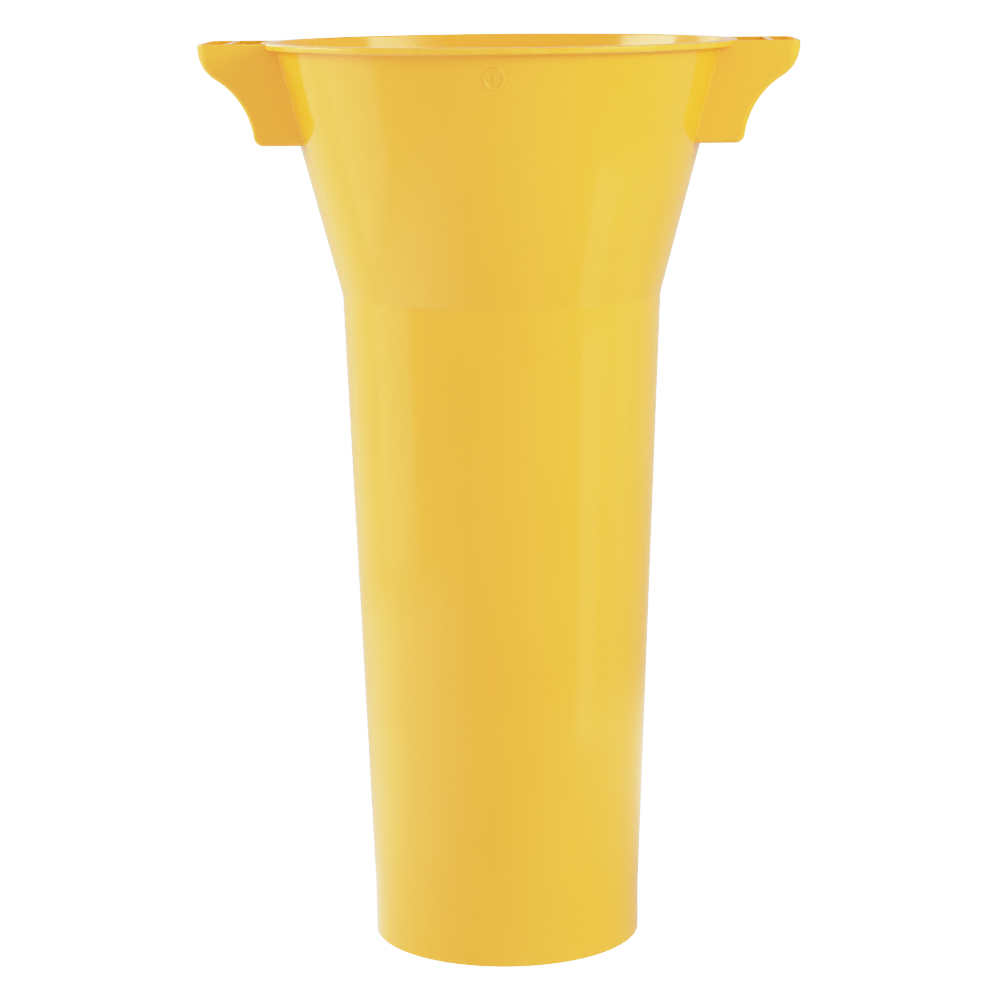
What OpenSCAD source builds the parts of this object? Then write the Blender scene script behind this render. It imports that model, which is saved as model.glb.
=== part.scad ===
// Sack-filling funnel: a long tapering spout under a flared hopper, moulded in one yellow shot with
// two hollow hand lugs. +Z runs up the funnel's axis, the outlet's rim lies on Z = 0, and the lugs
// stand out along +X (right) and -X (left). Millimetres.
//
// The wall is modelled in regions that meet face to face: collar, spout, bend, hopper and lip on the
// axis, then the walls of each lug.

/* [Overall] */
// Height from the outlet rim to the top of the mouth lip
height = 570; // [520:1:640]
// Wall thickness of the spout and the hopper
wall = 2.5; // [1.8:0.1:4]

/* [Outlet and spout] */
// Outer diameter of the outlet
outlet_d = 170; // [140:1:190]
// Height of the straight collar at the outlet
collar_h = 28; // [12:1:60]
// Outer diameter where the spout would meet the hopper with no bend
throat_d = 199.2; // [192:0.2:220]
// Height of that meeting line above the outlet
throat_z = 413.5; // [380:0.5:440]
// Outer radius of the soft bend between spout and hopper
bend_r = 18; // [6:1:40]

/* [Hopper and mouth lip] */
// Outer diameter that the hopper's cone reaches at the top of the lip
mouth_d = 282; // [260:1:286]
// Outer diameter of the mouth lip
lip_d = 294; // [290:1:300]
// Thickness of the mouth lip
lip_h = 4; // [3:0.5:6]
// Radius on the lip's outer edges
lip_edge_r = 1.2; // [0.5:0.1:1.4]

/* [Hand lugs] */
// Width of a lug from cheek to cheek
lug_w = 81; // [60:1:100]
// Distance from the axis to a lug's tip
lug_reach = 183.5; // [178:0.5:192]
// Height of a lug from its flat foot to its top edge
lug_h = 62; // [58:1:66]
// Wall thickness of the lugs
lug_wall = 2.2; // [1.6:0.1:3]
// Outer radius of the rounded nose
nose_r = 22.8; // [20:0.2:25]
// Height of the straight band above the nose
nose_band_h = 2; // [1:0.5:3]
// Radius of the hollow for the fingers, under the nose
grip_r = 49.2; // [46:0.2:54]
// How far the centre of that hollow lies below the foot
grip_drop = 1.3; // [0.5:0.1:3]
// Radius of the corner between the finger hollow and the foot
foot_corner_r = 6; // [3:0.5:8]
// Radius of the lug's corners, seen from above
tip_corner_r = 8; // [4:0.5:12]
// Distance from the axis to the middle of the cross rib
rib_x = 166; // [162:0.5:170]
// Thickness of the cross rib
rib_t = 3; // [1.6:0.1:4]

/* [Moulded date ring] */
// Outer diameter of the raised ring
ring_d = 13.4; // [10:0.2:18]
// Width of the ring's line
ring_line = 2; // [1:0.1:3]
// How far the ring and its pointer stand out
ring_raise = 0.5; // [0.3:0.1:0.8]
// Height of the ring's centre above the outlet
ring_z = 552; // [540:1:555]

/* [Hidden] */

$fn = 128;
funnel_yellow = [0.93, 0.77, 0.24];

outlet_r = outlet_d / 2;
throat_r = throat_d / 2;
mouth_r = mouth_d / 2;
lip_r = lip_d / 2;
lip_z = height - lip_h;

// Slopes of the outer wall: how much the radius grows for each millimetre of height
spout_slope = (throat_r - outlet_r) / (throat_z - collar_h);
hopper_slope = (mouth_r - throat_r) / (height - throat_z);
spout_tilt = atan(spout_slope);
hopper_tilt = atan(hopper_slope);
hopper_wall = wall / cos(hopper_tilt);

// Centre of the bend, outside the wall, and the wall's direction at its two ends
bend_mid = (spout_tilt + hopper_tilt) / 2;
bend_reach = bend_r / cos((hopper_tilt - spout_tilt) / 2);
bend_c = [throat_r + bend_reach * cos(bend_mid), throat_z - bend_reach * sin(bend_mid)];
function bend_point(tilt, depth) = bend_c - depth * [cos(tilt), -sin(tilt)];
spout_top = [bend_point(spout_tilt, bend_r), bend_point(spout_tilt, bend_r + wall)];
hopper_foot = [bend_point(hopper_tilt, bend_r), bend_point(hopper_tilt, bend_r + wall)];

function hopper_r(z) = throat_r + hopper_slope * (z - throat_z);

// Lug outline, seen from the side: nose circle above, finger-hollow circle below, tangent to each other
lug_root_x = 90;
foot_z = height - lug_h;
nose_c = [lug_reach - nose_r, height - nose_band_h];
grip_z = foot_z - grip_drop;
grip_c = [nose_c.x + sqrt(pow(grip_r + nose_r, 2) - pow(nose_c.y - grip_z, 2)), grip_z];
swap_point = nose_c + (grip_c - nose_c) * nose_r / (nose_r + grip_r);
corner_rise = foot_z + foot_corner_r - grip_z;
foot_corner_c = [grip_c.x - sqrt(pow(grip_r + foot_corner_r, 2) - pow(corner_rise, 2)), foot_z + foot_corner_r];
corner_tangent = grip_c + (foot_corner_c - grip_c) * grip_r / (grip_r + foot_corner_r);
cheek_y = lug_w / 2 - lug_wall;
tip_start_x = lug_reach - tip_corner_r;
over = 5;

// ---- Outline of the mouth lip: flat flange with two rounded outer edges ----

edge_steps = 6;
function edge_arc(z, from) = [
    for (i = [0:edge_steps])
        let (a = from + 90 * i / edge_steps) [lip_r - lip_edge_r + lip_edge_r * cos(a), z + lip_edge_r * sin(a)]
];

module lip_outline(inner_low, inner_high) {
    polygon(concat(
        [[inner_low, lip_z]],
        edge_arc(lip_z + lip_edge_r, -90),
        edge_arc(height - lip_edge_r, 0),
        [[inner_high, height]]
    ));
}

// Everything inside the hopper's outer face and the lip, used to trim what grows out of the wall
module hopper_envelope() {
    low = foot_z - 20;
    rotate_extrude() {
        polygon([[0, low], [hopper_r(low), low], [hopper_r(lip_z), lip_z], [0, lip_z]]);
        lip_outline(0, 0);
    }
}

// ---- Body of revolution ----

module outlet_collar() {
    color(funnel_yellow) difference() {
        cylinder(h = collar_h, r = outlet_r);
        translate([0, 0, -over]) cylinder(h = collar_h + 2 * over, r = outlet_r - wall);
    }
}

module spout_tube() {
    color(funnel_yellow) rotate_extrude()
        polygon([[outlet_r - wall, collar_h], [outlet_r, collar_h], spout_top[0], spout_top[1]]);
}

module throat_bend() {
    reach = 2 * (bend_r + wall);
    color(funnel_yellow) rotate_extrude() intersection() {
        translate(bend_c) difference() {
            circle(r = bend_r + wall);
            circle(r = bend_r);
        }
        polygon([bend_c, bend_point(hopper_tilt, reach), bend_point(spout_tilt, reach)]);
    }
}

module hopper_cone() {
    top_r = hopper_r(lip_z);
    color(funnel_yellow) rotate_extrude()
        polygon([hopper_foot[1], hopper_foot[0], [top_r, lip_z], [top_r - hopper_wall, lip_z]]);
}

module mouth_lip() {
    color(funnel_yellow) rotate_extrude()
        lip_outline(hopper_r(lip_z) - hopper_wall, mouth_r - hopper_wall);
}

// ---- Hand lugs ----

// Side outline of a lug in X and Z, pulled in by inset on the foot, the finger hollow and the nose
module lug_side(inset) {
    top = height + (inset > 0 ? over : 0);
    floor_z = foot_z + inset;
    difference() {
        union() {
            polygon([[lug_root_x, floor_z], [grip_c.x, floor_z], swap_point, nose_c, [nose_c.x, top], [lug_root_x, top]]);
            translate(nose_c) intersection() {
                circle(r = nose_r - inset);
                translate([-nose_r, -nose_r]) square([2 * nose_r, nose_r + nose_band_h / 2]);
            }
            translate(nose_c) square([nose_r - inset, top - nose_c.y]);
        }
        translate(grip_c) circle(r = grip_r + inset);
        difference() {
            polygon([foot_corner_c, [foot_corner_c.x, floor_z - over], [grip_c.x, floor_z - over], corner_tangent]);
            translate(foot_corner_c) circle(r = foot_corner_r - inset);
        }
    }
}

// Outline of a lug from above, with its two outer corners rounded
module lug_plan(inset) {
    half = lug_w / 2 - inset;
    corner = tip_corner_r - inset;
    translate([lug_root_x, -half]) square([tip_start_x - lug_root_x, 2 * half]);
    translate([lug_root_x, corner - half]) square([lug_reach - inset - lug_root_x, 2 * (half - corner)]);
    for (side = [-1, 1])
        translate([tip_start_x, side * (half - corner)]) circle(r = corner);
}

module lug_block(inset) {
    intersection() {
        rotate([90, 0, 0]) linear_extrude(height = lug_w + 2 * over, center = true) lug_side(inset);
        translate([0, 0, foot_z - over]) linear_extrude(height = lug_h + 3 * over) lug_plan(inset);
    }
}

// The whole hollow lug, open at the top and trimmed to the hopper
module lug_shell() {
    difference() {
        lug_block(0);
        lug_block(lug_wall);
        hopper_envelope();
    }
}

// A block that covers the lug between two X and two Y positions
module lug_slice(x0, x1, y0, y1) {
    translate([x0, y0, foot_z - over]) cube([x1 - x0, y1 - y0, lug_h + 2 * over]);
}

module lug_cheek(side) {
    intersection() {
        lug_shell();
        lug_slice(lug_root_x, tip_start_x, side > 0 ? cheek_y : -lug_w, side > 0 ? lug_w : -cheek_y);
    }
}

// Finger hollow, nose and tip in one bent wall
module lug_nose() {
    intersection() {
        lug_shell();
        union() {
            lug_slice(foot_corner_c.x, lug_reach + over, -cheek_y, cheek_y);
            lug_slice(tip_start_x, lug_reach + over, -lug_w, lug_w);
        }
    }
}

module lug_floor() {
    difference() {
        translate([lug_root_x, -cheek_y, foot_z]) cube([foot_corner_c.x - lug_root_x, 2 * cheek_y, lug_wall]);
        hopper_envelope();
    }
}

module lug_rib() {
    intersection() {
        lug_block(lug_wall);
        translate([rib_x - rib_t / 2, -lug_w, foot_z]) cube([rib_t, 2 * lug_w, lug_h]);
    }
}

module right_lug_front_cheek() { color(funnel_yellow) lug_cheek(-1); }
module right_lug_rear_cheek() { color(funnel_yellow) lug_cheek(1); }
module right_lug_nose() { color(funnel_yellow) lug_nose(); }
module right_lug_floor() { color(funnel_yellow) lug_floor(); }
module right_lug_rib() { color(funnel_yellow) lug_rib(); }

module left_lug_front_cheek() { color(funnel_yellow) mirror([1, 0, 0]) lug_cheek(-1); }
module left_lug_rear_cheek() { color(funnel_yellow) mirror([1, 0, 0]) lug_cheek(1); }
module left_lug_nose() { color(funnel_yellow) mirror([1, 0, 0]) lug_nose(); }
module left_lug_floor() { color(funnel_yellow) mirror([1, 0, 0]) lug_floor(); }
module left_lug_rib() { color(funnel_yellow) mirror([1, 0, 0]) lug_rib(); }

// ---- Moulded date ring on the front of the hopper, under the lip ----

// Thin skin just outside the hopper's outer face
module hopper_skin(thickness) {
    low = ring_z - ring_d;
    high = ring_z + ring_d;
    rotate_extrude() polygon([
        [hopper_r(low), low], [hopper_r(low) + thickness, low],
        [hopper_r(high) + thickness, high], [hopper_r(high), high],
    ]);
}

// The ring is tied to its pointer by the pointer's tail
module date_ring() {
    inner_r = ring_d / 2 - ring_line;
    color(funnel_yellow) intersection() {
        hopper_skin(ring_raise);
        translate([0, -mouth_r / 2, ring_z]) rotate([90, 0, 0]) linear_extrude(height = mouth_r) {
            difference() {
                circle(d = ring_d);
                circle(r = inner_r);
            }
            translate([-ring_line / 4, -inner_r - ring_line / 2]) square([ring_line / 2, inner_r + ring_line / 2]);
            polygon([[-ring_line, 0], [ring_line, 0], [0, inner_r * 0.7]]);
        }
    }
}

outlet_collar();
spout_tube();
throat_bend();
hopper_cone();
mouth_lip();
right_lug_front_cheek();
right_lug_rear_cheek();
right_lug_nose();
right_lug_floor();
right_lug_rib();
left_lug_front_cheek();
left_lug_rear_cheek();
left_lug_nose();
left_lug_floor();
left_lug_rib();
date_ring();
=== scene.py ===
"""Looks of the sack-filling funnel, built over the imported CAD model. Metres, +Z up, lugs along X."""
import math

import bpy
import numpy as np
from mathutils import Matrix, Vector


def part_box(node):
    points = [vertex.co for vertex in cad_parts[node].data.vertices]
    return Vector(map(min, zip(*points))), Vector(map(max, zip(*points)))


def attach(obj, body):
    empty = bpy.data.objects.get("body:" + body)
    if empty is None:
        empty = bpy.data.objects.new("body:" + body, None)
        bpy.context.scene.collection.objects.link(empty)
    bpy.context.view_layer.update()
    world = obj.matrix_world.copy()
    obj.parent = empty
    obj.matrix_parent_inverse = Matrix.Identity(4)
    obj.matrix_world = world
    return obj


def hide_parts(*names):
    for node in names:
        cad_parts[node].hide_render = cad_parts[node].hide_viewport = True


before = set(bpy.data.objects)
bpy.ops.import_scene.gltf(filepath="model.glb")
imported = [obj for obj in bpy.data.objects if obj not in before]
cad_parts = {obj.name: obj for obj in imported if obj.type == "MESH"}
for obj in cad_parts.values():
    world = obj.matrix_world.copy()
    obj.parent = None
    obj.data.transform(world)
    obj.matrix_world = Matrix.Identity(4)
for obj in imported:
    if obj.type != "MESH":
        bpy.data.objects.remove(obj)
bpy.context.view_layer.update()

# ---------------------------------------------------------------- sizes
MM = 0.001
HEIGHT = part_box("mouth_lip")[1].z
LIP_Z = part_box("mouth_lip")[0].z
LIP_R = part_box("mouth_lip")[1].x
OUTLET_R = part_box("outlet_collar")[1].x
COLLAR_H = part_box("outlet_collar")[1].z
FOOT_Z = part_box("right_lug_floor")[0].z
LUG_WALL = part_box("right_lug_floor")[1].z - FOOT_Z
LUG_HALF = -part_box("right_lug_front_cheek")[0].y
LUG_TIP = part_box("right_lug_nose")[1].x
RIB_LOW, RIB_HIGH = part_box("right_lug_rib")
MARK_LOW, MARK_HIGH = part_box("date_ring")

WALL = 2.5 * MM
THROAT_R = 99.6 * MM
THROAT_Z = 413.5 * MM
MOUTH_R = 141 * MM
BEND_R = 18 * MM
NOSE_R = 22.8 * MM
NOSE_BAND = 2 * MM
GRIP_R = 49.2 * MM
GRIP_DROP = 1.3 * MM
FOOT_CORNER_R = 6 * MM
TIP_CORNER_R = 8 * MM
MARK_LINE = 2 * MM                   # width of the date ring's line

# Softened edges that the plain CAD solids leave sharp
LUG_EDGE_R = 3 * MM
LUG_FILLET_R = 1.3 * MM
RIM_OUTER_R = 0.9 * MM
RIM_INNER_R = 0.6 * MM
LIP_EDGE_R = 1.2 * MM
LIP_FILLET_R = 1.4 * MM
MOUTH_EDGE_R = 1 * MM
OUTLET_EDGE_R = 0.8 * MM
OUTLET_BORE_EDGE_R = 0.5 * MM
COLLAR_BEND_R = 60 * MM              # between the collar and the spout
RIB_EDGE_R = 0.8 * MM
MARK_RAISE = 0.5 * MM
MARK_SINK = 0.05 * MM                # how far the line's edges sink into the wall
MARK_LEAN = 0.55                     # how far the line's normals lean over at its edges
HIDDEN = 1 * MM                      # how far a hidden end runs into its neighbour's wall

AROUND = 288                         # segments round the funnel's axis
RING_STEP = 9 * MM                   # about how far apart the rings are on a straight wall
EDGE_STEPS = 8                       # segments round a lug's edge
FLAT_STEPS = 14                      # and across the flat between two edges
SAME_POINT = 0.0005 * MM             # points closer than this are one
SHARP_BEND = math.radians(45)        # a sharper bend is an exposed edge, which wears
HOPPER_SLOPE = (MOUTH_R - THROAT_R) / (HEIGHT - THROAT_Z)
SPOUT_SLOPE = (THROAT_R - OUTLET_R) / (THROAT_Z - COLLAR_H)
HOPPER_TILT = math.atan(HOPPER_SLOPE)
SPOUT_TILT = math.atan(SPOUT_SLOPE)
HOPPER_WALL = WALL / math.cos(HOPPER_TILT)   # the wall's thickness, measured level


def hopper_r(z):
    return THROAT_R + HOPPER_SLOPE * (z - THROAT_Z)


def unit(v):
    v = np.asarray(v, float)
    return v / np.linalg.norm(v, axis=-1, keepdims=True)


def direction(angle):
    return np.array([math.cos(angle), math.sin(angle)])


def sweep_angle(start, end, steps):
    return [start + (end - start) * k / steps for k in range(steps + 1)]


# ---------------------------------------------------------------- mesh building
class Skin:
    """A mesh made of grids of points that carry their own normals, so that neighbouring pieces of the
    moulding shade as one surface. Each point also has a wear value, 1 on an exposed edge."""

    def __init__(self):
        self.points, self.normals, self.wear, self.quads = [], [], [], []
        self.count = 0

    def grid(self, points, normals, wear=None):
        points = np.asarray(points, float)
        normals = unit(np.broadcast_to(np.asarray(normals, float), points.shape))
        rows, cols = points.shape[:2]
        wear = np.zeros((rows, cols)) if wear is None else np.broadcast_to(wear, (rows, cols))
        ids = np.arange(rows * cols).reshape(rows, cols)
        quads = np.stack([ids[:-1, :-1], ids[:-1, 1:], ids[1:, 1:], ids[1:, :-1]], -1).reshape(-1, 4)
        flat, flat_n = points.reshape(-1, 3), normals.reshape(-1, 3)
        facing = np.cross(flat[quads[:, 2]] - flat[quads[:, 0]], flat[quads[:, 3]] - flat[quads[:, 1]])
        if np.sum(facing * flat_n[quads].sum(1)) < 0:
            quads = quads[:, ::-1]
        self.points.append(flat)
        self.normals.append(flat_n)
        self.wear.append(wear.reshape(-1))
        self.quads.append(quads + self.count)
        self.count += rows * cols

    def strip(self, a, b, normal):
        """A hidden face between two edges, which closes a piece where it meets its neighbour."""
        self.grid(np.stack([a, b]), np.asarray(normal, float))

    def build(self, name, mirror=False):
        points, normals = np.concatenate(self.points), np.concatenate(self.normals)
        wear, quads = np.concatenate(self.wear), np.concatenate(self.quads)
        if mirror:
            points, normals = points * (-1, 1, 1), normals * (-1, 1, 1)
            quads = quads[:, ::-1]
        keys = np.round(points / SAME_POINT).astype(np.int64)
        _, first, merged = np.unique(keys, axis=0, return_index=True, return_inverse=True)
        merged = merged.reshape(-1)
        faces, corners = [], []
        for quad in quads.tolist():
            ids = [int(merged[q]) for q in quad]
            keep = [k for k in range(4) if ids[k] != ids[k - 1]]
            if len({ids[k] for k in keep}) == len(keep) and len(keep) > 2:
                faces.append([ids[k] for k in keep])
                corners.extend(quad[k] for k in keep)
        mesh = bpy.data.meshes.new(name)
        mesh.from_pydata(points[first].tolist(), [], faces)
        mesh.polygons.foreach_set("use_smooth", [True] * len(faces))
        layer = mesh.attributes.new("wear", "FLOAT", "POINT")
        layer.data.foreach_set("value", wear[first])
        mesh.update()
        mesh.normals_split_custom_set(normals[corners].tolist())
        piece = bpy.data.objects.new(name, mesh)
        bpy.context.scene.collection.objects.link(piece)
        return piece


# ---------------------------------------------------------------- body of revolution
class Corner:
    """A corner of the wall's outline, with the region that its arc and the straight after it are in."""

    def __init__(self, r, z, radius, steps, arc_region, next_region=None):
        self.at = np.array([r, z])
        self.radius, self.steps = radius, steps
        self.arc_region, self.next_region = arc_region, next_region or arc_region


def wall_corners():
    half = (SPOUT_TILT + HOPPER_TILT) / 2
    shift = WALL / math.cos((HOPPER_TILT - SPOUT_TILT) / 2)
    bore_r = OUTLET_R - WALL
    inner_throat = (THROAT_R - shift * math.cos(half), THROAT_Z + shift * math.sin(half))
    return [
        Corner(bore_r, 0, OUTLET_BORE_EDGE_R, 5, "outlet_collar"),
        Corner(OUTLET_R, 0, OUTLET_EDGE_R, 6, "outlet_collar"),
        Corner(OUTLET_R, COLLAR_H, COLLAR_BEND_R, 4, "spout_tube"),
        Corner(THROAT_R, THROAT_Z, BEND_R, 16, "throat_bend", "hopper_cone"),
        Corner(hopper_r(LIP_Z), LIP_Z, LIP_FILLET_R, 6, "mouth_lip"),
        Corner(LIP_R, LIP_Z, LIP_EDGE_R, 6, "mouth_lip"),
        Corner(LIP_R, HEIGHT, LIP_EDGE_R, 8, "mouth_lip"),
        Corner(MOUTH_R - HOPPER_WALL, HEIGHT, MOUTH_EDGE_R, 8, "mouth_lip", "hopper_cone"),
        Corner(*inner_throat, BEND_R + WALL, 16, "throat_bend", "spout_tube"),
        Corner(bore_r, COLLAR_H, COLLAR_BEND_R, 4, "spout_tube", "outlet_collar"),
    ]


def wall_outline():
    """Points, outward normals, wear and regions along the wall's closed outline in (r, z)."""
    corners = wall_corners()
    arcs = []
    for i, corner in enumerate(corners):
        before = unit(corner.at - corners[i - 1].at)
        after = unit(corners[(i + 1) % len(corners)].at - corner.at)
        bend = math.atan2(before[0] * after[1] - before[1] * after[0], before @ after)
        side = math.copysign(1, bend)
        left = np.array([-before[1], before[0]])
        back = corner.radius * math.tan(abs(bend) / 2)
        centre = corner.at - before * back + side * corner.radius * left
        start = math.atan2(-side * left[1], -side * left[0])
        edge = 1.0 if bend > SHARP_BEND else 0.0
        arcs.append([
            (centre + corner.radius * direction(a), side * direction(a), edge)
            for a in sweep_angle(start, start + bend, corner.steps)
        ])
    outline = []
    for i, corner in enumerate(corners):
        for point in arcs[i][:-1]:
            outline.append((*point, corner.arc_region))
        (a, normal, edge), b = arcs[i][-1], arcs[(i + 1) % len(corners)][0][0]
        pieces = max(1, round(float(np.linalg.norm(b - a)) / RING_STEP))
        for k in range(pieces):
            wear = edge if k == 0 else 0.0
            outline.append((a + (b - a) * k / pieces, normal, wear, corner.next_region))
    return outline


def revolve(points, normals):
    """Turns an outline in (r, z) and its normals round the axis."""
    turn = np.linspace(0, 2 * math.pi, AROUND + 1)
    c, s = np.cos(turn), np.sin(turn)
    points, normals = np.asarray(points), np.asarray(normals)
    ring = np.stack([np.outer(points[:, 0], c), np.outer(points[:, 0], s),
                     np.repeat(points[:, 1:], AROUND + 1, 1)], -1)
    ring_n = np.stack([np.outer(normals[:, 0], c), np.outer(normals[:, 0], s),
                       np.repeat(normals[:, 1:], AROUND + 1, 1)], -1)
    ring[:, -1] = ring[:, 0]
    return ring, ring_n


def wall_skins():
    """One skin for each region of the wall. Where two regions meet, each is closed by a hidden face."""
    outline = wall_outline()
    count = len(outline)
    skins, loose = {}, {}
    start = next(i for i in range(count) if outline[i][3] != outline[i - 1][3])
    run = [start]
    for k in range(1, count + 1):
        i = (start + k) % count
        run.append(i)
        if k == count or outline[i][3] != outline[run[0]][3]:
            region = outline[run[0]][3]
            ring, ring_n = revolve([outline[j][0] for j in run], [outline[j][1] for j in run])
            wear = np.array([[outline[j][2]] for j in run])
            skins.setdefault(region, Skin()).grid(ring, ring_n, wear)
            loose.setdefault(region, []).extend([outline[run[0]][0], outline[i][0]])
            run = [i]
    for region, ends in loose.items():
        ends = sorted(ends, key=lambda p: p[1])
        for a, b, up in ((ends[0], ends[1], -1), (ends[-2], ends[-1], 1)):
            if (region, up) in (("outlet_collar", -1), ("mouth_lip", 1)):
                continue
            across = unit(b - a)
            normal = up * math.copysign(1, across[0]) * np.array([-across[1], across[0]])
            ring, ring_n = revolve([a, b], [normal, normal])
            skins[region].grid(ring, ring_n)
    return skins


# ---------------------------------------------------------------- hand lugs
NOSE_C = np.array([LUG_TIP - NOSE_R, HEIGHT - NOSE_BAND])
GRIP_Z = FOOT_Z - GRIP_DROP
GRIP_C = np.array([NOSE_C[0] + math.sqrt((GRIP_R + NOSE_R) ** 2 - (NOSE_C[1] - GRIP_Z) ** 2), GRIP_Z])
FOOT_C = np.array([
    GRIP_C[0] - math.sqrt((GRIP_R + FOOT_CORNER_R) ** 2 - (FOOT_Z + FOOT_CORNER_R - GRIP_Z) ** 2),
    FOOT_Z + FOOT_CORNER_R,
])
RIM_OUTER_Z = HEIGHT - RIM_OUTER_R
RIM_INNER_Z = HEIGHT - RIM_INNER_R


def angle_to(a, b):
    return math.atan2(b[1] - a[1], b[0] - a[0])


def lug_path(inset, edge_r, top):
    """Points, outward normals and edge radii along a lug's side outline, from the foot's corner up
    round the finger hollow and the nose to the given top, pulled in by inset."""
    path = []
    for a in sweep_angle(-math.pi / 2, angle_to(FOOT_C, GRIP_C), 10):
        path.append((FOOT_C + (FOOT_CORNER_R - inset) * direction(a), direction(a), edge_r))
    for a in sweep_angle(angle_to(GRIP_C, FOOT_C), angle_to(GRIP_C, NOSE_C), 26)[1:]:
        path.append((GRIP_C + (GRIP_R + inset) * direction(a), -direction(a), edge_r))
    steps = 20
    for k, a in enumerate(sweep_angle(angle_to(NOSE_C, GRIP_C), 0, steps)):
        grow = (k / steps) ** 2 * (3 - 2 * k / steps)
        radius = edge_r + grow * (TIP_CORNER_R - LUG_EDGE_R)
        if k:
            path.append((NOSE_C + (NOSE_R - inset) * direction(a), direction(a), radius))
    for z in sweep_angle(NOSE_C[1], top, 2)[1:]:
        path.append((np.array([NOSE_C[0] + NOSE_R - inset, z]), np.array([1.0, 0.0]), radius))
    return path


def lug_section(point, normal, edge_r, half):
    """One cross-section of the lug's skin: flat across the middle, rounded into the cheeks."""
    points, normals, wear = [], [], []
    turns = [-a for a in sweep_angle(math.pi / 2, 0, EDGE_STEPS)]
    flat = sweep_angle(edge_r - half, half - edge_r, FLAT_STEPS)[1:-1]
    samples = [(edge_r - half, a) for a in turns] + [(y, 0.0) for y in flat]
    samples += [(half - edge_r, a) for a in sweep_angle(0, math.pi / 2, EDGE_STEPS)]
    for y, a in samples:
        inward = edge_r * (1 - math.cos(a))
        x, z = point - inward * normal
        points.append((x, y + edge_r * math.sin(a), z))
        normals.append((math.cos(a) * normal[0], math.sin(a), math.cos(a) * normal[1]))
        wear.append(math.sin(2 * abs(a)))
    return np.array(points), np.array(normals), np.array(wear)


def cheek_edge(path, side, half):
    """Where the rounded edge runs into the cheek's flat."""
    return np.array([(p[0] - r * n[0], side * half, p[1] - r * n[1]) for p, n, r in path])


def fillet(section, section_n):
    """A small fillet between the lug's skin, which runs along X there, and the hopper. Gives the arcs
    (one row for each sample of the section) and their normals; each arc starts on the lug."""
    cos_t, sin_t = math.cos(HOPPER_TILT), math.sin(HOPPER_TILT)
    arcs, arcs_n = [], []
    for (_, y, z), n in zip(section, section_n):
        n = unit((0.0, n[1], n[2]))
        cy, cz = y + LUG_FILLET_R * n[1], z + LUG_FILLET_R * n[2]
        reach = hopper_r(cz) + LUG_FILLET_R / cos_t
        centre = np.array([math.sqrt(reach ** 2 - cy ** 2), cy, cz])
        hopper_n = np.array([cos_t * centre[0] / reach, cos_t * cy / reach, -sin_t])
        span = math.acos(float(np.clip(n @ hopper_n, -1, 1)))
        row = []
        for t in sweep_angle(0, 1, 6):
            row.append((math.sin((1 - t) * span) * n + math.sin(t * span) * hopper_n) / math.sin(span))
        arcs.append(centre - LUG_FILLET_R * np.array(row))
        arcs_n.append(row)
    return np.array(arcs), np.array(arcs_n)


def rows_between(start, end, steps):
    t = np.linspace(0, 1, steps + 1)[None, :, None]
    return start[:, None, :] * (1 - t) + end[:, None, :] * t


def rim_profile():
    """Offsets inward, heights, how far the normal leans out, how far up, and wear, over the top edge."""
    profile = []
    for a in sweep_angle(0, math.pi / 2, 6):
        lean, rise = math.cos(a), math.sin(a)
        profile.append((RIM_OUTER_R * (1 - lean), RIM_OUTER_Z + RIM_OUTER_R * rise, lean, rise, 1.0))
    for a in sweep_angle(math.pi / 2, math.pi, 5):
        lean, rise = math.cos(a), math.sin(a)
        inward = LUG_WALL - RIM_INNER_R - RIM_INNER_R * lean
        profile.append((inward, RIM_INNER_Z + RIM_INNER_R * rise, lean, rise, 0.6))
    return profile


def rim_along(plan):
    """Sweeps the top edge's profile along a stretch of the plan outline, given as a function from the
    inward offset to points (x, y) and outward normals."""
    points, normals, wear = [], [], []
    for inward, z, lean, rise, worn in rim_profile():
        line, line_n = plan(inward)
        points.append([(x, y, z) for x, y in line])
        normals.append([(lean * nx, lean * ny, rise) for nx, ny in line_n])
        wear.append([worn] * len(line))
    return np.array(points), np.array(normals), np.array(wear)


def cheek_plan(side):
    """The plan outline of one of the lug's sides, from under the lip to the tip's corner."""
    def plan(inward):
        y = side * (LUG_HALF - inward)
        start = math.sqrt((LIP_R - LIP_EDGE_R) ** 2 - y ** 2)
        line = [(x, y) for x in sweep_angle(start, LUG_TIP - TIP_CORNER_R, 10)]
        return line, [(0.0, side)] * len(line)
    return plan


def tip_plan(inward):
    """The plan outline of the lug's tip, round both corners."""
    line, normals = [], []
    for side in (-1, 1):
        centre = np.array([LUG_TIP - TIP_CORNER_R, side * (LUG_HALF - TIP_CORNER_R)])
        start = min(side, 0) * math.pi / 2
        if side > 0:
            low, high = line[-1][1], centre[1]
            for y in sweep_angle(low, high, FLAT_STEPS)[1:-1]:
                line.append((LUG_TIP - inward, y))
                normals.append((1.0, 0.0))
        for a in sweep_angle(start, start + math.pi / 2, EDGE_STEPS):
            line.append(tuple(centre + (TIP_CORNER_R - inward) * direction(a)))
            normals.append(tuple(direction(a)))
    return line, normals


def outer_path():
    return lug_path(0, LUG_EDGE_R, RIM_OUTER_Z)


def inner_path():
    return lug_path(LUG_WALL, LUG_EDGE_R - LUG_WALL, RIM_INNER_Z)


def from_hopper(points):
    """The same points moved along X to just inside the hopper's wall."""
    out = np.array(points)
    out[:, 0] = np.sqrt((hopper_r(out[:, 2]) - HIDDEN) ** 2 - out[:, 1] ** 2)
    return out


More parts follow.
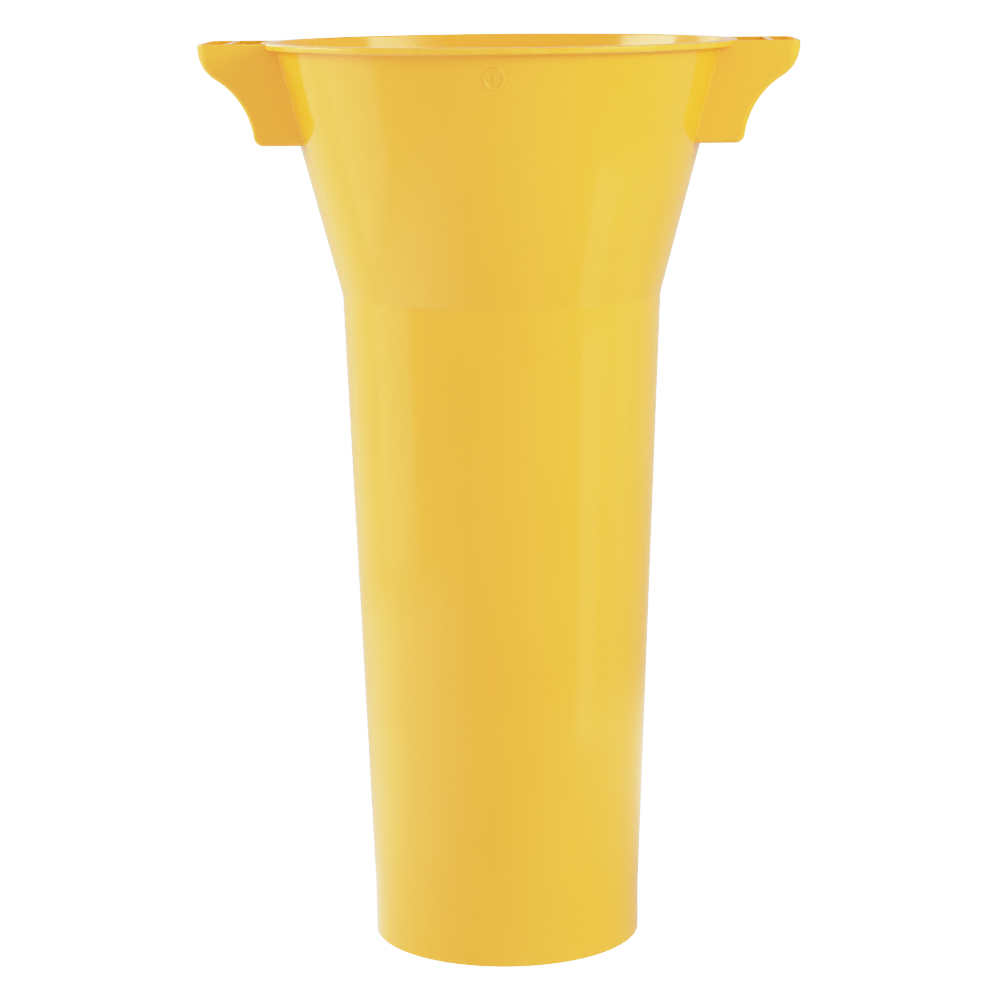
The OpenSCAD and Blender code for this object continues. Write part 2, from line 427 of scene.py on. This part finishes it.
def lug_cheek(side):
    """One side wall, with its fillet to the hopper and its share of the top edge."""
    skin = Skin()
    outer = cheek_edge(outer_path(), side, LUG_HALF)
    inner = cheek_edge(inner_path(), side, LUG_HALF - LUG_WALL)
    out = np.array((0.0, side, 0.0))
    arcs, arcs_n = fillet(outer, np.broadcast_to(out, outer.shape))
    skin.grid(arcs, arcs_n)
    skin.grid(rows_between(arcs[:, 0], outer, 12), out)
    skin.grid(rows_between(from_hopper(inner), inner, 12), -out)
    skin.grid(*rim_along(cheek_plan(side)))
    skin.strip(outer, inner, (1.0, 0.0, 0.0))
    skin.strip(arcs[0], np.linspace(inner[0], from_hopper(inner[:1])[0], 7), (0.0, 0.0, -1.0))
    return skin


def lug_nose():
    """The finger hollow, the nose and the tip as one bent wall, outside and inside."""
    skin = Skin()
    for path, half, sign in ((outer_path(), LUG_HALF, 1), (inner_path(), LUG_HALF - LUG_WALL, -1)):
        rows = [lug_section(p, n, r, half) for p, n, r in path]
        worn = np.stack([row[2] for row in rows]) * (1 if sign > 0 else 0)
        skin.grid(np.stack([row[0] for row in rows]), sign * np.stack([row[1] for row in rows]), worn)
        if sign > 0:
            outside = np.stack([row[0] for row in rows])
        else:
            inside = np.stack([row[0] for row in rows])
    skin.strip(outside[:, 0], inside[:, 0], (-1.0, 0.0, 0.0))
    skin.strip(outside[:, -1], inside[:, -1], (-1.0, 0.0, 0.0))
    skin.strip(outside[0], inside[0], (-1.0, 0.0, 0.0))
    skin.grid(*rim_along(tip_plan))
    return skin


def lug_floor():
    """The flat foot, with its fillet to the hopper."""
    skin = Skin()
    p, n, r = outer_path()[0]
    outer, outer_n, worn = lug_section(p, n, r, LUG_HALF)
    arcs, arcs_n = fillet(outer, outer_n)
    skin.grid(arcs, arcs_n)
    skin.grid(rows_between(arcs[:, 0], outer, 8), outer_n[:, None], worn[:, None])
    p, n, r = inner_path()[0]
    inner, inner_n, _ = lug_section(p, n, r, LUG_HALF - LUG_WALL)
    skin.grid(rows_between(from_hopper(inner), inner, 8), -inner_n[:, None])
    skin.strip(outer, inner, (1.0, 0.0, 0.0))
    skin.strip(arcs[:, -1], from_hopper(inner), (-1.0, 0.0, 0.0))
    return skin


def lug_rib():
    """A plate across the lug, with a rounded top and its foot let into the finger hollow's wall."""
    skin = Skin()
    reach = LUG_HALF - LUG_WALL + RIM_INNER_R
    profile = []
    for x, start in ((RIB_HIGH.x - RIB_EDGE_R, 0.0), (RIB_LOW.x + RIB_EDGE_R, math.pi / 2)):
        for a in sweep_angle(start, start + math.pi / 2, 6):
            at = np.array([x, HEIGHT - RIB_EDGE_R]) + RIB_EDGE_R * direction(a)
            profile.append((at, direction(a), 0.6))
    mid_r = GRIP_R + LUG_WALL / 2
    feet = []
    for x in sweep_angle(RIB_LOW.x, RIB_HIGH.x, 4):
        z = GRIP_Z + math.sqrt(mid_r ** 2 - (GRIP_C[0] - x) ** 2)
        feet.append((np.array([x, z]), np.array([0.0, -1.0]), 0.0))
    right = [(feet[-1][0], np.array([1.0, 0.0]), 0.0), profile[0]]
    left = [profile[-1], (feet[0][0], np.array([-1.0, 0.0]), 0.0)]
    ys = sweep_angle(-reach, reach, 16)
    for run in (right, profile, left, feet):
        points = [[(p[0], y, p[1]) for y in ys] for p, _, _ in run]
        normals = [[(n[0], 0.0, n[1])] * len(ys) for _, n, _ in run]
        skin.grid(points, normals, np.array([[worn] for _, _, worn in run]))
    loop = [p for p, _, _ in profile] + [f[0] for f in feet]
    for y in (-reach, reach):
        ring = np.array([(p[0], y, p[1]) for p in loop + loop[:1]])
        middle = np.broadcast_to(ring[:-1].mean(0), ring.shape)
        skin.strip(ring, middle, (0.0, math.copysign(1, y), 0.0))
    return skin


# ---------------------------------------------------------------- moulded date ring
def on_hopper(u, v, lift):
    """A point on the hopper's front, u to the right and v up, lifted off the wall along its normal."""
    radius = hopper_r(v)
    y = -math.sqrt(radius ** 2 - u ** 2)
    level = math.cos(HOPPER_TILT) / radius
    normal = unit((u * level, y * level, -math.sin(HOPPER_TILT)))
    return np.array((u, y, v)) + lift * normal, normal


def date_ring():
    """A raised ring with a pointer in it, each with a domed line that sinks into the wall at its edges."""
    skin = Skin()
    centre_z = (MARK_LOW.z + MARK_HIGH.z) / 2
    outer_r = (MARK_HIGH.x - MARK_LOW.x) / 2
    profile = []
    for a in sweep_angle(math.pi, 0, 10):
        side, rise = math.cos(a), math.sin(a)
        lift = (MARK_RAISE + MARK_SINK) * rise ** 0.7 - MARK_SINK
        profile.append((MARK_LINE / 2 * side, lift, side, rise))
    points, normals, wear = [], [], []
    for turn in sweep_angle(0, 2 * math.pi, 72):
        across = direction(turn)
        row, row_n = [], []
        for offset, lift, side, rise in profile:
            radius = outer_r - MARK_LINE / 2 + offset
            at, n = on_hopper(radius * across[0], centre_z + radius * across[1], lift)
            lean = np.array((across[0], 0.0, across[1]))
            row.append(at)
            row_n.append(unit(rise * n + MARK_LEAN * side * lean))
        points.append(row)
        normals.append(row_n)
        wear.append([rise for _, _, _, rise in profile])
    points[-1] = points[0]
    skin.grid(points, normals, np.array(wear))
    inner_r = outer_r - MARK_LINE
    pointer_tail = (MARK_LINE / 4, -inner_r - MARK_LINE / 3, 0.0, 1.0)
    pointer_head = (MARK_LINE, 0.0, inner_r * 0.7, 0.06)
    for half_width, low, high, tip in (pointer_tail, pointer_head):
        points, normals = [], []
        for t in sweep_angle(0, 1, 8):
            width = half_width * (1 - t + t * tip)
            row, row_n = [], []
            for offset, lift, side, rise in profile:
                u = width * offset / (MARK_LINE / 2)
                at, n = on_hopper(u, centre_z + low + t * (high - low), lift)
                row.append(at)
                row_n.append(unit(rise * n + MARK_LEAN * side * np.array((1.0, 0.0, 0.0))))
            points.append(row)
            normals.append(row_n)
        skin.grid(points, normals, np.full((9, len(profile)), 0.5))
    return skin


# ---------------------------------------------------------------- materials
class Nodes:
    """Short spellings for building a node tree."""

    def __init__(self, name):
        self.material = bpy.data.materials.new(name)
        self.material.use_nodes = True
        self.tree = self.material.node_tree
        self.tree.nodes.clear()

    def add(self, kind, **values):
        node = self.tree.nodes.new("ShaderNode" + kind)
        for key, value in values.items():
            setattr(node, key, value)
        return node

    def put(self, socket, value):
        if isinstance(value, bpy.types.NodeSocket):
            self.tree.links.new(value, socket)
        else:
            socket.default_value = value

    def math(self, operation, *values):
        node = self.add("Math", operation=operation)
        for socket, value in zip(node.inputs, values):
            self.put(socket, value)
        return node.outputs[0]

    def vector(self, operation, *values):
        node = self.add("VectorMath", operation=operation)
        for socket, value in zip(node.inputs, values):
            self.put(socket, value)
        return node.outputs["Value" if operation in ("LENGTH", "DOT_PRODUCT") else "Vector"]

    def spread(self, value, low, high, to_low, to_high):
        node = self.add("MapRange")
        for socket, v in zip(node.inputs, (value, low, high, to_low, to_high)):
            self.put(socket, v)
        return node.outputs[0]

    def noise(self, at, scale, detail=2.0, rough=0.5):
        node = self.add("TexNoise")
        self.put(node.inputs["Vector"], at)
        self.put(node.inputs["Scale"], scale)
        self.put(node.inputs["Detail"], detail)
        self.put(node.inputs["Roughness"], rough)
        return node.outputs[0]

    def stretched(self, at, scale):
        node = self.add("Mapping")
        self.put(node.inputs["Vector"], at)
        self.put(node.inputs["Scale"], scale)
        return node.outputs[0]

    def blend(self, amount, a, b):
        node = self.add("Mix", data_type="RGBA")
        self.put(node.inputs[0], amount)
        self.put(node.inputs[6], a)
        self.put(node.inputs[7], b)
        return node.outputs[2]

    def bump(self, height, distance, below=None):
        node = self.add("Bump")
        self.put(node.inputs["Strength"], 1.0)
        self.put(node.inputs["Distance"], distance)
        self.put(node.inputs["Height"], height)
        if below is not None:
            self.put(node.inputs["Normal"], below)
        return node.outputs[0]


YELLOW = (0.918, 0.464, 0.028, 1)
YELLOW_DEEP = (0.908, 0.443, 0.023, 1)
YELLOW_PALE = (0.92, 0.53, 0.07, 1)


def moulded_plastic():
    """Glossy injection-moulded polypropylene: faint flow and draw marks, orange peel, slightly uneven
    gloss, and edges that have gone a little paler and duller."""
    n = Nodes("yellow_moulded_plastic")
    at = n.add("TexCoord").outputs["Object"]
    cloud = n.noise(at, 7.0, 3.0)
    streaks = n.noise(n.stretched(at, (260.0, 260.0, 5.0)), 1.0, 3.0, 0.6)
    peel = n.noise(at, 800.0, 2.0)
    swell = n.noise(n.stretched(at, (1.0, 1.0, 0.35)), 24.0, 2.0)
    scuffs = n.noise(at, 90.0, 3.0, 0.6)
    wear_node = n.add("Attribute", attribute_name="wear")
    worn = n.math("MULTIPLY", wear_node.outputs["Fac"], n.spread(scuffs, 0.42, 0.62, 0.0, 1.0))

    flow = n.math("ADD", n.math("MULTIPLY", cloud, 0.75), n.math("MULTIPLY", streaks, 0.25))
    colour = n.blend(n.spread(flow, 0.35, 0.65, 0.0, 1.0), YELLOW_DEEP, YELLOW)
    colour = n.blend(n.math("MULTIPLY", worn, 0.3), colour, YELLOW_PALE)

    rough = n.spread(streaks, 0.3, 0.7, 0.115, 0.155)
    rough = n.math("ADD", rough, n.spread(cloud, 0.35, 0.65, -0.01, 0.01))
    rough = n.math("ADD", rough, n.math("MULTIPLY", worn, 0.08))

    normal = n.bump(swell, 0.25 * MM)
    normal = n.bump(peel, 0.006 * MM, normal)

    shader = n.add("BsdfPrincipled")
    n.put(shader.inputs["Base Color"], colour)
    n.put(shader.inputs["Roughness"], rough)
    n.put(shader.inputs["Normal"], normal)
    n.put(shader.inputs["IOR"], 1.49)
    n.put(n.add("OutputMaterial").inputs["Surface"], shader.outputs["BSDF"])
    return n.material


# ---------------------------------------------------------------- assembly
def build_funnel():
    plastic = moulded_plastic()
    pieces = {}
    for node, skin in wall_skins().items():
        pieces[node] = skin.build(node + "_skin")
    for hand in ("right", "left"):
        lug = {
            "front_cheek": lug_cheek(-1),
            "rear_cheek": lug_cheek(1),
            "nose": lug_nose(),
            "floor": lug_floor(),
            "rib": lug_rib(),
        }
        for part, skin in lug.items():
            node = hand + "_lug_" + part
            pieces[node] = skin.build(node + "_skin", mirror=hand == "left")
    pieces["date_ring"] = date_ring().build("date_ring_skin")
    for node, piece in pieces.items():
        piece.data.materials.append(plastic)
        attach(piece, "root")
        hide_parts(node)


# ---------------------------------------------------------------- studio
WHITE = 4.0                          # the scene value that the film response shows as pure white
PLAIN_WHITE = (1, 1, 1, 1)
SURROUND = 0.93                      # radiance of the surroundings below the horizon
CEILING = 0.65                       # and above it
SHADE = 0.71                         # and low down behind on the right
SWEEP_R = 12.0                       # radius of the floor and the dome over it
TABLE_R = 1.5
TABLE_DROP = 0.002                   # how far the mirrored table lies below the floor
TABLE_LEFT = 1.0                     # what the key lights add to it, and the shade takes away
TABLE_NEAR_RIGHT = 0.25
TABLE_FAR_RIGHT = -0.3
TABLE_INSIDE = (0.5, 0.22, 0.02, 1)  # its glow's painted shade and yellow tint under the spout, where light comes in tinted
LIGHTING_DISTANCE = 2.0              # nearer softboxes are cards that only show as reflections


def compass(azimuth):
    """The level direction at an azimuth in degrees from the front, positive to the right."""
    return (math.sin(math.radians(azimuth)), -math.cos(math.radians(azimuth)), 0.0)


def glow(n, strength, colour=PLAIN_WHITE):
    """Finishes a material as a plain emitter."""
    emission = n.add("Emission")
    n.put(emission.inputs["Color"], colour)
    n.put(emission.inputs["Strength"], strength)
    n.put(n.add("OutputMaterial").inputs["Surface"], emission.outputs[0])
    return n.material


def stage_disc(name, profile, material):
    """A piece of the stage, revolved from a profile in (r, z)."""
    skin = Skin()
    ring, ring_n = revolve(profile, [(0.0, 1.0)] * len(profile))
    skin.grid(ring, ring_n)
    stage = skin.build(name)
    stage.data.materials.append(material)
    return stage


def sweep():
    """A plain white floor that runs out into a white dome. Only the camera sees it: the funnel is lit
    by the world and the far softboxes, and it mirrors those, the table's glow and the near ones."""
    profile = [(0.01, 0.0), (SWEEP_R, 0.0)]
    for a in sweep_angle(0, math.radians(89.9), 24)[1:]:
        profile.append((SWEEP_R * math.cos(a), SWEEP_R * math.sin(a)))
    stage = stage_disc("studio_sweep", profile, glow(Nodes("studio_white"), WHITE))
    stage.visible_diffuse = stage.visible_glossy = False
    stage.visible_transmission = stage.visible_shadow = False


def table_glow():
    """The white table as the funnel mirrors it: brightest on the left, where the key light falls, with
    a small pool of light on the right and shade round that, and dim and yellow under the spout."""
    n = Nodes("table_glow")
    at = n.add("TexCoord").outputs["Object"]
    radius = n.vector("LENGTH", at)
    heading = n.vector("NORMALIZE", at)
    near_left = n.spread(radius, 0.1, 0.35, 0.35 * TABLE_LEFT, TABLE_LEFT)
    wide_pool = n.spread(radius, 0.9, 1.0, near_left, 0.0)
    left = n.spread(n.vector("DOT_PRODUCT", heading, compass(-80)), 0.45, 0.95, 0.0, wide_pool)
    near_right = n.spread(radius, 0.15, 0.4, TABLE_FAR_RIGHT, TABLE_NEAR_RIGHT)
    small_pool = n.spread(radius, 0.5, 0.7, near_right, TABLE_FAR_RIGHT)
    right = n.spread(n.vector("DOT_PRODUCT", heading, compass(105)), 0.2, 0.8, 0.0, small_pool)
    light = n.math("ADD", n.math("ADD", left, right), SURROUND)
    # painted shade: the glow is dimmed and tinted yellow under the spout
    inside = n.spread(radius, OUTLET_R - 2 * WALL, OUTLET_R, 1.0, 0.0)
    colour = n.blend(inside, PLAIN_WHITE, TABLE_INSIDE)
    profile = [(0.001, -TABLE_DROP), (TABLE_R, -TABLE_DROP)]
    stage = stage_disc("table_top", profile, glow(n, light, colour))
    stage.visible_camera = stage.visible_diffuse = False


def softbox(name, azimuth, distance, low, high, width, radiance):
    """An upright soft light that faces the axis, at an azimuth in degrees and a distance from it,
    from a low to a high edge."""
    light = bpy.data.lights.new(name, "AREA")
    light.shape = "RECTANGLE"
    light.size, light.size_y = width, high - low
    light.energy = radiance * math.pi * width * (high - low)
    lamp = bpy.data.objects.new(name, light)
    away = Vector(compass(azimuth))
    lamp.location = away * distance + Vector((0, 0, (low + high) / 2))
    lamp.rotation_euler = away.to_track_quat("Z", "Y").to_euler()
    lamp.visible_camera = False
    lamp.visible_diffuse = distance > LIGHTING_DISTANCE
    bpy.context.scene.collection.objects.link(lamp)


def film_response(view):
    """Film-like highlights: linear up to two thirds, then a soft shoulder up to white."""
    view.view_transform = "Standard"
    view.use_curve_mapping = True
    curves = view.curve_mapping
    curves.white_level = (WHITE, WHITE, WHITE)
    curve = curves.curves[3]
    shoulder = ((0.66, 0.66), (0.80, 0.745), (0.96, 0.813), (1.24, 0.875), (1.7, 0.93), (2.4, 0.97))
    for radiance, shown in shoulder:
        curve.points.new(radiance / WHITE, shown)
    for point in curve.points[:2]:
        point.handle_type = "VECTOR"     # keeps the linear part straight
    curves.update()


def soft_world():
    """Even white light, a little stronger from below the horizon, except behind on the right."""
    world = bpy.data.worlds.new("studio")
    world.use_nodes = True
    tree = world.node_tree
    coords = tree.nodes.new("ShaderNodeTexCoord")
    split = tree.nodes.new("ShaderNodeSeparateXYZ")
    facing = tree.nodes.new("ShaderNodeVectorMath")
    facing.operation = "DOT_PRODUCT"
    facing.inputs[1].default_value = compass(125)
    shade, fade = tree.nodes.new("ShaderNodeMapRange"), tree.nodes.new("ShaderNodeMapRange")
    tree.links.new(coords.outputs["Generated"], split.inputs[0])
    tree.links.new(coords.outputs["Generated"], facing.inputs[0])
    tree.links.new(facing.outputs["Value"], shade.inputs["Value"])
    tree.links.new(split.outputs["Z"], fade.inputs["Value"])
    to_shade = (0.0, 0.8, SURROUND, SHADE)
    to_ceiling = (-0.1, 0.2, SURROUND, CEILING)
    for node, values in ((shade, to_shade), (fade, to_ceiling)):
        for socket, value in zip(node.inputs[1:5], values):
            socket.default_value = value
    tree.links.new(shade.outputs[0], fade.inputs["To Min"])
    tree.links.new(fade.outputs[0], tree.nodes["Background"].inputs["Strength"])
    tree.nodes["Background"].inputs["Color"].default_value = PLAIN_WHITE
    bpy.context.scene.world = world


def studio():
    film_response(bpy.context.scene.view_settings)
    soft_world()
    sweep()
    table_glow()
    softbox("left_key", -92, 2.3, 0.7, 1.7, 1.6, 7.9)
    softbox("right_key", 61, 2.3, 0.7, 1.7, 1.6, 7.2)
    softbox("front_fill", 0, 2.3, 0.7, 1.7, 1.6, 1.25)
    softbox("back_fill", -150, 2.3, 0.8, 2.0, 1.4, 1.5)
    softbox("left_panel", -82.5, 1.0, 0.0, 0.8, 0.6, 0.88)
    softbox("left_panel_back", -120, 1.0, 0.0, 0.8, 0.75, 0.25)
    softbox("right_strip", 62, 0.4, 0.03, 0.34, 0.108, 0.8)
    softbox("right_strip_back", 84, 0.4, 0.02, 0.36, 0.2, 0.25)


def camera():
    """The photo's camera, fitted to the funnel's outline."""
    distance, height = 1.8849, 0.6270
    yaw, pitch, pan, roll = 0.0245, 0.1815, -0.0012, 0.0093
    data = bpy.data.cameras.new("camera")
    data.sensor_width, data.lens = 36.0, 108.62
    data.clip_start, data.clip_end = 0.1, 50
    cam = bpy.data.objects.new("camera", data)
    heading = yaw - pan
    level = math.cos(pitch)
    ahead = Vector((-math.sin(heading) * level, math.cos(heading) * level, -math.sin(pitch)))
    right = ahead.cross(Vector((0, 0, 1))).normalized()
    up = right.cross(ahead)
    lean, turn = math.cos(roll), math.sin(roll)
    up, right = up * lean + right * turn, right * lean - up * turn
    cam.matrix_world = Matrix((
        (right.x, up.x, -ahead.x, distance * math.sin(yaw)),
        (right.y, up.y, -ahead.y, -distance * math.cos(yaw)),
        (right.z, up.z, -ahead.z, height),
        (0, 0, 0, 1),
    ))
    bpy.context.scene.collection.objects.link(cam)
    bpy.context.scene.camera = cam


camera()
studio()
build_funnel()
